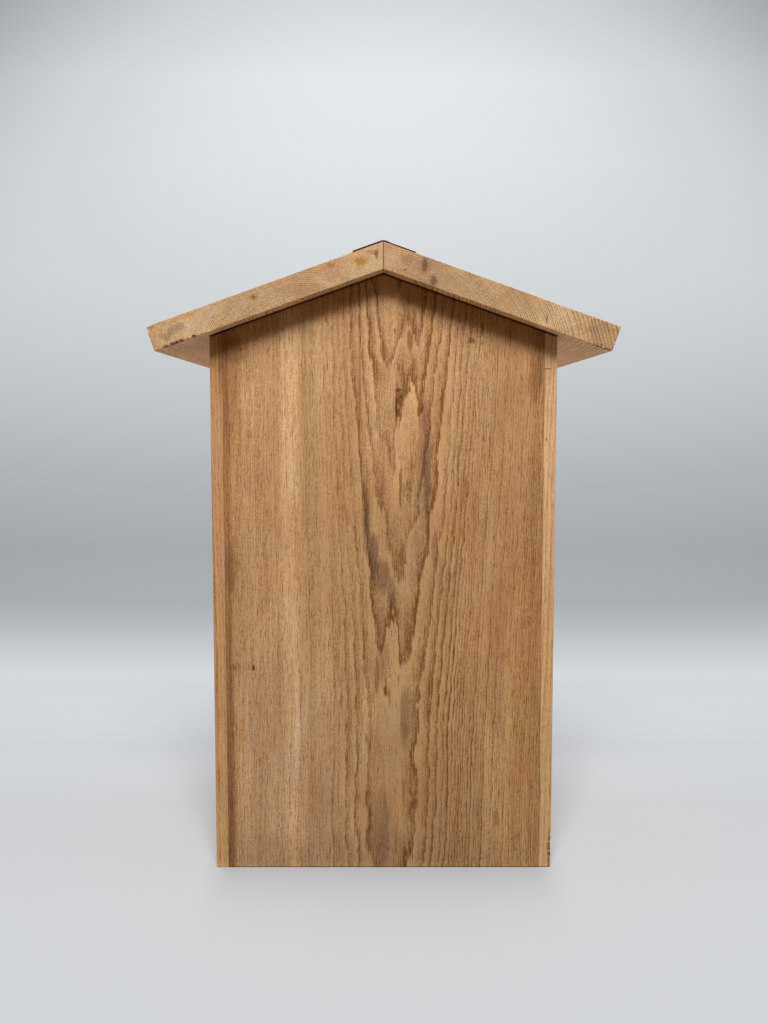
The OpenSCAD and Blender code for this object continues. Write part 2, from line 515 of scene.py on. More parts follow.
gableMarks = layMarks([
    (12, 130, 52, 240, 0.1, 1.0, (0.92, 0.9, 0.88)),  # darker heart
    (80, 130, 50, 270, 0.1, 1.0, (0.96, 0.94, 0.92)),
    (20, 150, 28, 190, 0.2, 1.0, (0.95, 0.94, 0.93)),
    (92, 300, 42, 120, 0.2, 1.0, (0.94, 0.93, 0.91)),
    (95, 300, 19, 85, 0.2, 1.0, (0.93, 0.89, 0.85)),
    (0, 225, 170, 52, 0.1, 1.0, (0.94, 0.92, 0.92)),
    (58, 60, 17, 90, 0.3, 1.0, (0.91, 0.89, 0.89)),
    (-45, 25, 18, 50, 0.3, 1.0, (0.88, 0.87, 0.88)),
    (-44, 230, 12, 50, 0.3, 1.0, (0.94, 0.92, 0.9)),
    (33, 30, 13, 70, 0.3, 1.0, (0.93, 0.94, 0.94)),
    (4, 60, 14, 80, 0.3, 1.0, (0.94, 0.94, 0.96)),
    (4.4, 130, 0.9, 9, 0.5, 0.8, (0.62, 0.5, 0.42), 3),
    (15, 56, 1.0, 13, 0.6, 0.8, (0.62, 0.5, 0.42), 3),
    (-11, 28, 1.4, 19, 0.7, 0.8, (0.6, 0.5, 0.44), 3),
    (-36, 105, 34, 42, 0.3, 1.0, (1.05, 1.08, 1.2)),  # paler, less orange foot
    (-85, 60, 50, 130, 0.2, 1.0, (0.99, 1.01, 1.12)),
    (8, 334, 22, 68, 0.2, 0.9, (1.12, 1.13, 1.15)),
    (117.4, 200, 0.5, 260, 0.3, 0.7, (0.45, 0.36, 0.28), 3),
    (-68, 240, 7.0, 330, 0.4, 0.85, (1.23, 1.3, 1.4), 6),  # pale band
    (-53, 230, 5, 260, 0.4, 0.7, (0.88, 0.9, 0.84), 6),
    (-115, 200, 4.8, 340, 0.3, 0.85, (0.64, 0.54, 0.43), 6),  # dark margin by the left joint
    (-107, 200, 6, 340, 0.3, 0.5, (0.92, 0.9, 0.86), 6),
    (-111.3, 226, 5.5, 21, 0.5, 0.9, (0.72, 0.64, 0.54), 4),
    (-95, 310, 18, 60, 0.2, 1.0, (1.06, 1.08, 1.1)),
    (93, 280, 20, 28, 0.2, 1.0, (0.94, 0.92, 0.87)),
    (0, 95, 24, 38, 0.3, 1.0, (1.04, 1.09, 1.15)),
    (-112, 374, 7.5, 60, 0.5, 0.8, (0.78, 0.71, 0.63), 6),
    (-113.3, 45, 4.2, 130, 0.4, 0.95, (0.78, 0.65, 0.56), 6),
    (-116.4, 85, 1.2, 1.6, 0.2, 1.0, (0.35, 0.25, 0.2), 3),
    (-108.5, 153, 3.6, 3.4, 0.5, 0.8, (0.72, 0.66, 0.58), 3),
    (112.5, 200, 6, 330, 0.5, 0.8, (0.86, 0.79, 0.7), 6),  # and by the right joint
    (109, 366, 5.5, 18, 0.6, 0.8, (0.74, 0.62, 0.52), 4),
    (84, 38, 2.2, 7, 0.3, 0.7, (0.62, 0.5, 0.42), 3),
    (0, -0.3, 300, 1.4, 0.1, 0.9, (0.4, 0.32, 0.26), 2),  # painted shade: a dark line along the foot
    (-17, 372, 1.1, 50, 0.4, 0.8, (0.62, 0.55, 0.48), 5),
    (-12.8, 262, 2.8, 26, 0.5, 0.9, (0.52, 0.49, 0.54), 5),  # grey-brown patches in the figure
    (-7, 234, 4.2, 18, 0.5, 0.9, (0.52, 0.49, 0.54), 5),
    (0, 220, 5.5, 13, 0.6, 0.9, (0.58, 0.54, 0.58), 5),
    (6, 207, 3.2, 12, 0.5, 0.8, (0.6, 0.56, 0.58), 5),
    (30, 306, 6.0, 46, 0.5, 0.8, (0.72, 0.68, 0.7), 5),
    (31.5, 298, 2.6, 30, 0.5, 0.9, (0.6, 0.58, 0.64), 5),
    (29, 336, 3.0, 12, 0.5, 0.7, (0.72, 0.66, 0.66), 5),
    (37.5, 238, 2.8, 15, 0.6, 0.8, (0.72, 0.65, 0.62), 5),
    (-1, 300, 9, 26, 0.6, 0.8, (0.84, 0.82, 0.84), 5),
    (-1, 160, 5, 22, 0.5, 0.8, (0.7, 0.64, 0.6), 5),
    (-5, 146, 1.9, 15, 0.3, 0.9, (0.6, 0.5, 0.42), 4),
    (15.5, 115, 3.6, 24, 0.5, 0.8, (0.62, 0.56, 0.56), 5),
    (0, 28, 10, 34, 0.6, 0.8, (0.8, 0.77, 0.82), 5),
    (1, 28, 3.4, 28, 0.6, 0.8, (0.72, 0.67, 0.7), 5),
    (13, 46, 4, 32, 0.4, 0.8, (1.16, 1.17, 1.2), 5),
    (11, 345.5, 2.6, 11.5, 0.2, 0.9, (0.7, 0.57, 0.44), 3),  # slit
    (9.2, 344, 0.8, 11, 0.2, 0.9, (0.35, 0.24, 0.16), 3),
    (12.9, 347, 0.7, 8, 0.2, 0.8, (0.45, 0.34, 0.24), 3),
    (11, 355.5, 2.6, 1.6, 0.2, 0.9, (0.35, 0.24, 0.16), 3),
    (19, 391, 2.3, 9, 0.4, 0.9, (0.5, 0.34, 0.21), 3),  # top limb of the figure
    (22, 402, 2.4, 13, 0.5, 0.8, (0.72, 0.6, 0.48), 4),
    (12.3, 287, 1.0, 20, 0.9, 0.9, (0.5, 0.4, 0.32), 3),  # row of pits
    (-96, 152, 1.3, 2.4, 0.3, 1.0, (0.3, 0.2, 0.15), 3),  # pin knot
    (-102.4, 384.5, 1.0, 1.2, 0.3, 0.9, (0.5, 0.38, 0.28), 3),
    (3, 150, 3, 0.6, 0.2, 0.8, (1.25, 1.28, 1.3), 3),
    (63.3, 390.5, 2.6, 2.6, 0.5, 0.9, (0.54, 0.38, 0.27), 3),
    (71, 399, 1.1, 5.5, 0.3, 0.9, (0.42, 0.3, 0.22), 3),
    # painted light: paler patches along the roof's slope, just below its shadow
    *[(x, underside(x) - 17, 12, 8, 0.2, 0.8, (1.2, 1.2, 1.24)) for x in (-46, -30, -14)],
    *[(x, underside(x) - 23, 12, 12, 0.2, 0.8, (1.16, 1.16, 1.17)) for x in (10, 26, 42)],
    (98, 379, 18, 14, 0.2, 0.8, (1.13, 1.12, 1.07)),
    (-107, 384, 12, 11, 0.3, 0.9, (0.78, 0.71, 0.62)),
    (-106, 366, 13, 16, 0.3, 0.8, (0.91, 0.89, 0.84)),
    (-110, 325, 8, 78, 0.3, 0.8, (0.92, 0.88, 0.82)),
    (-57, 320, 6, 78, 0.2, 0.9, (0.86, 0.85, 0.82)),
    (-57, 45, 7, 34, 0.2, 0.9, (1.2, 1.2, 1.27)),
    (-103, 75, 6, 68, 0.3, 0.9, (1.14, 1.14, 1.18)),
    (-115, 42, 4, 48, 0.3, 0.9, (0.82, 0.8, 0.76)),
    (-92, 75, 5, 75, 0.3, 0.8, (0.9, 0.89, 0.88)),
    (83, 165, 7, 75, 0.3, 0.9, (0.86, 0.84, 0.82)),
    (71, 66, 5, 55, 0.3, 0.8, (0.87, 0.86, 0.84)),
    (23, 350, 5, 14, 0.3, 0.8, (1.22, 1.22, 1.26)),
    (1, 366, 5, 11, 0.4, 0.8, (0.8, 0.78, 0.76)),
    (106, 377, 6, 13, 0.3, 0.8, (1.2, 1.2, 1.24)),
    (-33, 345, 6, 30, 0.2, 0.8, (1.15, 1.16, 1.19)),
    (-10, 330, 5, 12, 0.5, 0.8, (0.82, 0.8, 0.82)),
    (24, 243, 4, 14, 0.4, 0.8, (0.82, 0.8, 0.8)),
    (60, 250, 6, 26, 0.3, 0.8, (1.17, 1.17, 1.19)),
    (103, 212, 9, 34, 0.3, 0.8, (1.14, 1.14, 1.14)),
    (-10, 122, 6, 24, 0.3, 0.8, (1.13, 1.14, 1.16)),
    # painted shade: darker towards the foot
    (0, -6, 300, 34, 0.05, 1.0, (0.9, 0.9, 0.91)),
    (0, -3, 300, 14, 0.05, 1.0, (0.93, 0.94, 0.97)),
], onGable, 20)

leftFigure = {
    **plainWood, "Pith": (-190.0, -60.0, 0.0), "Seed": 17.0, "Lines": 0.65, "Comb": 0.3,
    "Pale": paint(196, 150, 103), "Blush": paint(190, 138, 90), "Deep": paint(136, 91, 54),
}
leftMarks = layMarks([
    (-117.2, 375, 1.8, 28, 0.3, 0.8, (0.68, 0.6, 0.5), 4),
    (-121, 350, 12, 160, 0.2, 0.8, (0.93, 0.93, 0.91)),
    (-121, 120, 12, 230, 0.2, 0.9, (1.04, 1.13, 1.2)),
], onGable, 8)
rightFigure = {
    **plainWood, "Pith": (200.0, -40.0, 0.0), "Seed": 23.0, "Lines": 0.65, "Comb": 0.3,
    "Pale": paint(213, 172, 124), "Blush": paint(206, 160, 112), "Deep": paint(160, 118, 76),
}
rightMarks = layMarks([
    (121, 330, 12, 160, 0.2, 0.8, (1.04, 1.13, 1.26)),
    (121, 50, 12, 110, 0.2, 0.9, (0.93, 0.93, 1.0)),
    (118.2, 370.6, 3.2, 0.5, 0.1, 0.9, (0.35, 0.25, 0.18), 3),
    (118, 320, 0.8, 1.0, 0.1, 0.9, (0.4, 0.3, 0.25), 3),
    (125, 14, 3, 17, 0.3, 0.7, (0.4, 0.3, 0.22), 4),
    # painted shade: a dark line along the foot
    (120, -0.3, 30, 1.4, 0.1, 0.9, (0.4, 0.32, 0.26), 2),
], onGable, 8)

roofRightFigure = {
    **plainWood, "Pith": onRoof(1, 18, -80, 0.0), "Lean": (0.02, 0.0, 0.01), "Ring Width": 1.25,
    "Growth": 0.001, "Tighten": -0.45, "Tighten From": 143.0, "Bend": 2.5, "Lines": 1.0, "Broken": 0.4,
    "Pores": 0.7, "Fibres": 0.35, "Grit": 0.7, "Rays": 0.25, "Seed": 12.0,
    "Pale": paint(201, 165, 123), "Blush": paint(192, 151, 109), "Deep": paint(132, 94, 59),
}
roofLeftFigure = {
    **roofRightFigure, "Pith": onRoof(-1, 76, -44, 0.0), "Lean": (-0.02, 0.0, 0.008), "Ring Width": 1.2,
    "Tighten": 0.0, "Lines": 0.95, "Broken": 0.5, "Patchy": 0.6, "Seed": 31.0,
}
roofLeftCalm = [
    (onRoof(-1, 15, 9), (34, 40, 18), 0.2, 0.6),
    (onRoof(-1, 73, 9), (12, 40, 18), 0.2, 0.35),
]
roofRightCalm = [(onRoof(1, 150, 0, -30), (40, 125, 9), 0.1, 0.5)]
mitreMark = ((0, roofFront, ridgeZ + 9), (0.45, 4, 15), 0.1, 0.9, (0.4, 0.3, 0.22))
roofRightMarks = [mitreMark, *layMarks([
    (34, 9, 18, 14, 0.2, 0.9, (0.86, 0.86, 0.86)),
    (26.5, 11.0, 5.0, 7.5, 0.5, 0.7, (0.8, 0.74, 0.74)),
    (26.2, 12.2, 2.1, 5.2, 0.5, 0.85, (0.46, 0.39, 0.42)),
    (36, 4.5, 4.5, 5.5, 0.5, 0.7, (0.78, 0.72, 0.72)),
    (35.6, 4.3, 2.4, 3.6, 0.5, 0.85, (0.44, 0.37, 0.42)),
    (13.5, 11.7, 4.8, 3.4, 0.7, 0.6, (0.78, 0.62, 0.6)),
    (65, 9, 34, 14, 0.2, 0.8, (0.92, 0.92, 0.92)),
    (14.6, 4.8, 0.7, 1.0, 0.2, 0.9, (0.35, 0.25, 0.2)),
    (118.8, 6, 0.6, 4, 0.2, 0.9, (0.38, 0.28, 0.22), 3),
    (118, 9, 17, 14, 0.2, 0.9, (1.09, 1.17, 1.2)),
    (160, 8, 12, 14, 0.4, 0.8, (0.76, 0.7, 0.66), 5),
], lambda s, t: onRoof(1, s, t), 4)]
roofLeftMarks = [mitreMark, *layMarks([
    # painted shade in the dark pits along the torn lower edge
    *[(s, 0.6, 1.7, 1.5, 0.3, 1.0, (0.46, 0.33, 0.22), 3) for s in (140, 149.3, 152.8, 156, 161)],
    (13.4, 9.6, 4.2, 3.0, 0.7, 0.9, (0.84, 0.62, 0.26)),
    (13, 11.4, 8, 3.0, 0.8, 0.8, (0.9, 0.76, 0.52)),
    (1.0, 11.2, 1.6, 3.4, 0.7, 0.9, (0.48, 0.34, 0.2)),
    (3.5, 13.5, 4.5, 1.8, 0.8, 0.7, (0.66, 0.5, 0.34)),
    (34, 14.6, 3.4, 2.0, 0.6, 0.8, (0.82, 0.62, 0.44)),
    (138, 15.8, 3.4, 1.8, 0.6, 0.8, (0.86, 0.68, 0.55)),
    (166.5, 16.5, 2.2, 2.2, 0.6, 0.8, (0.8, 0.6, 0.44)),
    (90, 9, 42, 14, 0.2, 0.8, (0.93, 0.95, 0.98)),
    (45.5, 9, 5, 2.4, 0.4, 0.9, (1.12, 1.14, 1.16)),
    (39.5, 3.5, 3.5, 2.8, 0.4, 0.9, (1.1, 1.12, 1.14)),
    (132, 9, 17, 14, 0.2, 0.9, (1.09, 1.16, 1.26)),
    (91.3, 12, 3.2, 2.6, 0.7, 0.8, (0.76, 0.62, 0.42)),
    (91.3, 11.6, 1.3, 1.2, 0.3, 0.8, (0.62, 0.48, 0.32)),
    *[(s, t, 4.0, 3.2, 0.5, 0.8, (0.64, 0.6, 0.62)) for s, t in ((147.2, 10.3), (153, 9.0), (158.7, 7.2))],
], lambda s, t: onRoof(-1, s, t), 4)]

gableWood = timber("gable wood", gableFigure, gableMarks, gableCalm, gableSwells)
frontWood = timber("front wood", {**gableFigure, "Pith": (-30.0, -outerY - 70.0, 0.0), "Seed": 41.0})
leftWood = timber("left side wood", leftFigure, leftMarks)
rightWood = timber("right side wood", rightFigure, rightMarks)
roofLeftWood = timber("left roof wood", roofLeftFigure, roofLeftMarks, roofLeftCalm, alongY=True)
roofRightWood = timber("right roof wood", roofRightFigure, roofRightMarks, roofRightCalm, alongY=True)
battenWood = timber("batten wood", {**plainWood, "Seed": 21.0})
floorWood = timber("floor wood", {**plainWood, "Pith": (20.0, -60.0, 0.0), "Seed": 27.0}, alongY=True)


def makeStripMaterial():
    # thin dark rubbery felt: a fine grain, dust in clouds and a few worn specks
    material, tree, surface, point = newMaterial("ridge strip")
    grain = noise(point, (0.5, 0.5, 0.5), 2.0)
    dust = fade(noise(point, (14, 22, 14), 4.0, 0.65), 0.35, 0.8)
    color = mixColor(dust, paint(64, 45, 33), paint(88, 69, 53))
    color = mixColor(fade(grain, 0.35, 0.65, 0.0, 0.7), color, paint(40, 27, 19))
    worn = fade(noise(point, (0.9, 0.9, 0.9), 1.0), 0.68, 0.74, 0.0, 0.5)
    color = mixColor(worn, color, paint(138, 122, 106))
    bump = put(tree, "Bump", {"Height": grain, "Distance": 0.0002, "Strength": 1.0}).outputs[0]
    feed(tree, surface.inputs, {"Base Color": color, "Roughness": scaleAdd(dust, 0.15, 0.7), "Normal": bump,
                                "Specular IOR Level": 0.1})
    return material


def makeSteelMaterial():
    # dull galvanised heads, clouded between two greys, the paler the rougher
    material, tree, surface, point = newMaterial("galvanised steel")
    bloom = noise(point, (0.9, 0.9, 0.9), 3.0)
    color = mixColor(bloom, paint(120, 118, 115), paint(178, 178, 176))
    roughness = scaleAdd(bloom, 0.25, 0.35)
    feed(tree, surface.inputs, {"Base Color": color, "Roughness": roughness, "Metallic": 1.0})
    return material


stripMaterial = makeStripMaterial()
steel = makeSteelMaterial()
print("materials ready")


# boards

# three of these set painted shade under the roof: the height of the dark line along the walls' tops, and the
# depth and fade of the gable's darker band
wallBoards = {"step": 3.0, "ease": 0.35, "sideEase": 0.5, "wear": 0.12, "gapAtRidge": 0.4, "gapAtEave": 0.6,
              "jointGap": 0.1, "dirtHeight": 1.5, "unbleached": 14.5, "unbleachedFade": 5.0}
splitCorner = {"z": 12, "reach": (3.2, 3.2, 18), "depth": 1.3}  # at the foot of the right side


def cutToRoof(points, start=300.0):
    # what stands above the start height is pressed or stretched until its top lies a little under the roof
    top = points[:, 2].max()
    widening = wallBoards["gapAtEave"] - wallBoards["gapAtRidge"]
    gap = wallBoards["gapAtRidge"] + widening * (points[:, 0] / outerX) ** 2
    share = np.clip((points[:, 2] - start) / (top - start), 0, 1)
    points[:, 2] += share * (underside(points[:, 0]) - gap - top)


def underRoof(points):
    # painted shade in the crease under the roof: one along the top of a wall, fading out a little below the
    # roof
    return np.clip(1 - (underside(points[:, 0]) - points[:, 2]) / wallBoards["dirtHeight"], 0, 1)


def rubEdges(points, normals, onEdge, amount, seed):
    # edges go in along their normals by the amount times one plus noise, and never out
    worn = onEdge * np.clip(1 + waves(points, 9.0, seed), 0, None) * amount
    return points - normals * worn[:, None]


def makeGable():
    # the plain gable: an eased box cut to the roof. Its painted shade band under the roof is one at its top
    # and fades out downwards
    reach = innerX - wallBoards["jointGap"]
    step, ease = wallBoards["step"], wallBoards["ease"]
    low, high, fine = (-reach, outerY, 0), (reach, innerY, ridgeZ), ((), (), [(ridgeZ - 2, 2, 0.7)])
    points, normals, onEdge, quads = easedBox(low, high, (step, 3, step), ease, fine)
    cutToRoof(points)
    points = rubEdges(points, normals, onEdge, wallBoards["wear"], 4)
    # painted shade: darker and warmer from under the roof down to about the depth of its shadow
    unbleached = wallBoards["unbleached"] - underside(points[:, 0]) + points[:, 2]
    unbleached = np.clip(unbleached / wallBoards["unbleachedFade"], 0, 1)
    # painted shade: a near-black line along the top, in the crease under the roof
    addPiece("gable_back", points, quads.tolist(), gableWood, ["back_wall"], onEdge,
             underRoof(points), unbleached)


def makeSides():
    # both side boards as eased boxes on the right, cut to the roof, the left one then mirrored
    fine = ((), (), [(15, 18, 1.0), (sideHigh[2] - 2, 2, 0.7)])
    for side, name, wood in ((-1, "left_wall", leftWood), (1, "right_wall", rightWood)):
        low, high = (innerX, outerY, 0.0), (outerX, -outerY, sideHigh[2])
        points, normals, onEdge, quads = easedBox(low, high, (1.0, 4.0, 3.0), wallBoards["sideEase"], fine)
        points = rubEdges(points, normals, onEdge, wallBoards["wear"], 5 + side)
        if side > 0:
            corner = (outerX, outerY, splitCorner["z"])
            points = bite(points, normals, corner, splitCorner["reach"], splitCorner["depth"], 9)
        cutToRoof(points)
        points[:, 0] *= side
        # painted shade: a near-black line along the top, in the crease under the roof
        addPiece(name.replace("_wall", "_side"), points, quads.tolist(), wood, [name], onEdge,
                 underRoof(points))


entrance = {"ease": 0.9, "rays": 300, "rings": 26, "wear": 0.5}


def makeFront():
    # a closed profile carried round the entrance. On each ray from its centre, share 0 is the hole and
    # share 1 the board's outline, which lies where the ray first meets one of the five edge lines
    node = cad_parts["front_wall"]
    corners = np.array([v.co for v in node.data.vertices]) * 1000
    below = corners[:, 2] < underside(corners[:, 0]) - 1
    rim = corners[(np.abs(corners[:, 0]) < innerX - 1) & (corners[:, 2] > 1) & below]
    openingLow, openingHigh = rim[:, 2].min(), rim[:, 2].max()
    centreZ, radius = (openingLow + openingHigh) / 2, (openingHigh - openingLow) / 2
    ease = entrance["ease"]
    reach = innerX - wallBoards["jointGap"]
    lines = np.array([(1, 0, reach), (-1, 0, reach), (0, -1, centreZ),
                      (rise, slope, (ridgeZ - wallBoards["gapAtRidge"] - centreZ) * slope),
                      (-rise, slope, (ridgeZ - wallBoards["gapAtRidge"] - centreZ) * slope)])
    eaveZ = underside(reach) - wallBoards["gapAtRidge"] - centreZ
    outline = [(reach, -centreZ), (-reach, -centreZ), (reach, eaveZ), (-reach, eaveZ),
               (0, lines[3, 2] / slope)]
    angles = np.linspace(-math.pi, math.pi, entrance["rays"], endpoint=False)
    angles = np.unique(np.concatenate([angles, [math.atan2(z, x) for x, z in outline]]))
    ray = np.stack([np.cos(angles), np.sin(angles)])

    arc = np.linspace(0, math.pi / 2, 5)
    across = np.linspace(0, 1, entrance["rings"])
    back, face = -outerY - ease, -innerY + ease  # where the faces' easing begins
    turnOut, turnIn = ease * (1 - np.cos(arc)), ease * (1 - np.sin(arc))
    flat, none, full = np.full(len(across), ease), np.zeros(5), np.ones(5)
    share = np.concatenate([none, across, full, full, across[::-1], none])
    holeEase = np.concatenate([turnOut, flat, none, none, flat, turnOut[::-1]])
    rimEase = np.concatenate([none, flat, turnIn, turnIn[::-1], flat, none])
    out, turned = ease * np.sin(arc), ease * np.cos(arc)
    depth = np.concatenate([back + out, flat * 0 - outerY, back + turned,
                            face - turned[::-1], flat * 0 - innerY, face - out[::-1]])
    rows = np.stack([share, holeEase * (share < 1), rimEase * (share > 0), depth])
    keep = np.append(True, np.abs(np.diff(rows)).sum(0) > 1e-6)
    share, holeEase, rimEase, depth = rows[:, keep]

    towards = lines[:, :2] @ ray
    towards = np.where(towards > 1e-6, towards, np.nan)[..., None]
    distance = (lines[:, 2][:, None, None] - rimEase[None, None, :]) / towards
    edgeAt = np.nanmin(np.where(distance > 0, distance, np.nan), axis=0)
    sawn = 1 + 0.0006 * np.sin(angles * 37) + 0.0009 * np.sin(angles * 11 + 1)
    holeAt = (radius * sawn)[:, None] + holeEase[None, :]
    far = holeAt * (1 - share) + edgeAt * share
    points = np.empty(far.shape + (3,))
    points[..., 0], points[..., 2] = far * ray[0][:, None], centreZ + far * ray[1][:, None]
    points[..., 1] = depth[None, :]
    index = np.arange(far.size).reshape(far.shape)
    ahead, beside = np.roll(index, -1, 0), np.roll(index, -1, 1)
    quads = np.stack([index, ahead, np.roll(ahead, -1, 1), beside], -1).reshape(-1, 4)
    onEdge = (np.abs(depth + (outerY + innerY) / 2) < (innerY - outerY) / 2 - 0.05) * 1.0
    onEdge = np.broadcast_to(onEdge, far.shape).ravel() * entrance["wear"]
    points = points.reshape(-1, 3)
    addPiece("gable_front", points, quads.tolist(), frontWood, ["front_wall"], onEdge)


ridgeStrip = {"bendRadius": 0.8, "edgeWave": 0.35, "thickness": {-1: 1.0, 1: 0.7}, "thinFrom": 4.0,
              "leftShare": 0.94}
# three of these set painted shade: its reach from the wall plane along the undersides, its strength there,
# and its strength on the top edges under the strip
roofBoards = {"steps": (3.0, 4.0, 1.5), "ease": 0.5, "wear": 0.15, "dirtReach": 5.5, "dirtAtWall": 1.5,
              "dirtByStrip": 0.8, "chipDepth": 0.7, "tornDepth": 0.9,
              "torn": [(163, 0.9), (159.5, 0.8), (156, 1.3), (152.8, 1.4), (149.3, 1.5), (145, 0.6),
                       (140, 1.3)]}


def makeRoof():
    # both roof boards as eased boxes: X down the slope, Z up from the underside, then laid on the roof
    finer = ([(roofLength - 22, 24, 0.5)],
             [(roofFront + 2, 2.5, 0.4), (outerY - 4, 6, 0.8), (-outerY + 4, 5, 1.0)], [(1.5, 2.0, 0.4)])
    for side, name, wood in ((-1, "roof_left", roofLeftWood), (1, "roof_right", roofRightWood)):
        low, high = (0.0, roofFront, 0.0), (roofLength, roofHigh[1], roofT)
        points, normals, onEdge, quads = easedBox(low, high, roofBoards["steps"], roofBoards["ease"], finer)
        points = rubEdges(points, normals, onEdge, roofBoards["wear"], 6 + side)
        chip, torn = roofBoards["chipDepth"], roofBoards["tornDepth"]
        if side < 0:
            points = bite(points, normals, (roofLength, roofFront, roofT), (5, 5, 5), chip, 5, 0.05)
            for s, size in roofBoards["torn"]:
                points = bite(points, normals, (s, roofFront, 0.2), (size * 1.3, 1.6, size), torn * size, 3)
        else:
            points = bite(points, normals, (roofLength - 6, roofFront, 0), (9, 1.6, 1.8), chip, 7)
        # mitred at the ridge: the higher a point, the further it is moved up the slope
        along = points[:, 0] - points[:, 2] * steep * (1 - points[:, 0] / roofLength)
        placed = np.stack(onRoof(side, along, points[:, 2], points[:, 1]), -1)
        # painted shade: near black on the underside by the wall plane, and on the top edge under the strip
        beyond = np.abs(points[:, 1]) + outerY
        most = roofBoards["dirtAtWall"]
        dirt = np.clip(most - most * beyond / roofBoards["dirtReach"], 0, 1)
        dirt *= (points[:, 2] < 0.5) * (along < outerX / slope)
        byStrip = (points[:, 2] > roofT - 0.5) * (points[:, 0] < stripReach * ridgeStrip["leftShare"])
        dirt += roofBoards["dirtByStrip"] * byStrip
        # painted light: the undersides take the brighter factor under the roof
        below = 1.0 * (points[:, 2] < 0.3)
        addPiece(name + "_board", placed, quads.tolist(), wood, [name], onEdge, dirt, below)


def makeRidgeStrip():
    # a flat strip laid over the ridge: its height falls with the slope, rounded at the fold by
    # sqrt(s^2 + r^2)
    low, high = (-stripReach, roofFront + 0.1, 0.0), (stripReach, -roofFront - 0.1, stripT)
    points, normals, onEdge, quads = easedBox(low, high, (1.2, 4.0, 1.0), 0.3)
    wave = waves(points * (0, 1, 0), 60.0, 2) * 0.5 - 0.5
    s = points[:, 0] * (1 + ridgeStrip["edgeWave"] / stripReach * wave)
    s *= np.where(s < 0, ridgeStrip["leftShare"], 1)
    thickness = ridgeStrip["thickness"]
    points[:, 2] *= np.where(s > ridgeStrip["thinFrom"], thickness[1], thickness[-1])
    bend = ridgeStrip["bendRadius"]
    folded = np.sqrt(s ** 2 + bend ** 2)
    x = s * slope + points[:, 2] * rise * s / folded
    z = ridgeZ + roofT / slope - folded * rise + points[:, 2] * np.sqrt(1 - (rise * s / folded) ** 2)
    z -= np.clip(z.max() - stripHigh[2], 0, None)
    addPiece("ridge_cap_strip", np.stack([x, points[:, 1], z], -1), quads.tolist(), stripMaterial,
             ["ridge_strip"], onEdge)


heads = {"segments": 12, "bradRadius": 1.5, "bradFrom": 30.0, "bradStep": 58.0, "bradInset": 4.6,
         "screwRadius": 4.0, "screwsDown": (44.0, 78.0, 112.0), "screwsAlong": (-107.0, 107.0),
         "tackRadius": 2.2, "tackCount": 7, "tackReach": 130, "tackInset": 5.0}


def addHeads(name, places, aim, profile):
    # turned heads: a profile of (radius, height) rows carried round an axis through each place along aim, its
    # ends closed by fans
    places, aim = np.array(places, float), np.array(aim, float)
    aim /= np.linalg.norm(aim)
    first = np.cross(aim, (0.0, 1.0, 0.0))
    first /= np.linalg.norm(first)
    second = np.cross(aim, first)
    count, rows = heads["segments"], len(profile)
    angles = np.arange(count) / count * 2 * math.pi
    ring = np.cos(angles)[:, None] * first + np.sin(angles)[:, None] * second
    radius, height = np.array(profile, float).T[..., None, None]
    grid = places[:, None, None] + radius * ring + height * aim
    poles = places[:, None] + height[[0, -1], 0] * aim
    points = np.concatenate([grid.reshape(len(places), -1, 3), poles], 1)
    index = np.arange(rows * count).reshape(rows, count)
    ahead = np.roll(index, -1, 1)
    quads = np.stack([index[:-1], ahead[:-1], ahead[1:], index[1:]], -1).reshape(-1, 4)
    bottom = np.stack([np.full(count, rows * count), ahead[0], index[0]], -1)
    top = np.stack([np.full(count, rows * count + 1), index[-1], ahead[-1]], -1)
    starts = np.arange(len(places))[:, None, None] * (rows * count + 2)
    faces = [face for part in (quads, bottom, top)
             for face in (part + starts).reshape(-1, part.shape[1]).tolist()]
    addPiece(name, points.reshape(-1, 3), faces, steel)


def makeFasteners():
    # brads up the sides' edges, tacks along the strip's edges and screws over the roof battens
    brad = heads["bradRadius"]
    bradProfile = [(brad * 0.7, -1.5), (brad, -0.6), (brad, 0.1), (brad * 0.85, 0.22), (brad * 0.3, 0.18)]
    heights = np.arange(heads["bradFrom"], sideHigh[2] - 20, heads["bradStep"])
    edge = -outerY - heads["bradInset"]
    for side, name in ((-1, "left"), (1, "right")):
        places = [(side * outerX, y, z) for z in heights for y in (-edge, edge)]
        addHeads("brads_" + name, places, (side, 0, 0), bradProfile)
    screw = heads["screwRadius"]
    screwProfile = [(screw * 0.5, -2.6), (screw, -0.4), (screw, 0.3), (screw * 0.9, 0.6), (screw * 0.5, 0.7),
                    (screw * 0.42, -0.6)]
    tack = heads["tackRadius"]
    tackProfile = [(tack * 0.5, -0.8), (tack, -0.1), (tack * 0.9, 0.3), (tack * 0.4, 0.5)]
    for side, name in ((-1, "left"), (1, "right")):
        aim = (side * rise, 0, slope)
        reach = stripReach * ridgeStrip["leftShare"] - roofT * steep - heads["tackInset"]
        above = roofT + stripT * ridgeStrip["thickness"][side]
        rows = np.linspace(-heads["tackReach"], heads["tackReach"], heads["tackCount"])
        places = [onRoof(side, reach, above, y) for y in rows]
        addHeads("strip_tacks_" + name, places, aim, tackProfile)
        places = [onRoof(side, s, roofT, y) for s in heads["screwsDown"] for y in heads["screwsAlong"]]
        addHeads("roof_screws_" + name, places, aim, screwProfile)


makeGable()
makeFront()
makeSides()
makeRoof()
makeRidgeStrip()
makeFasteners()
print("boards ready")

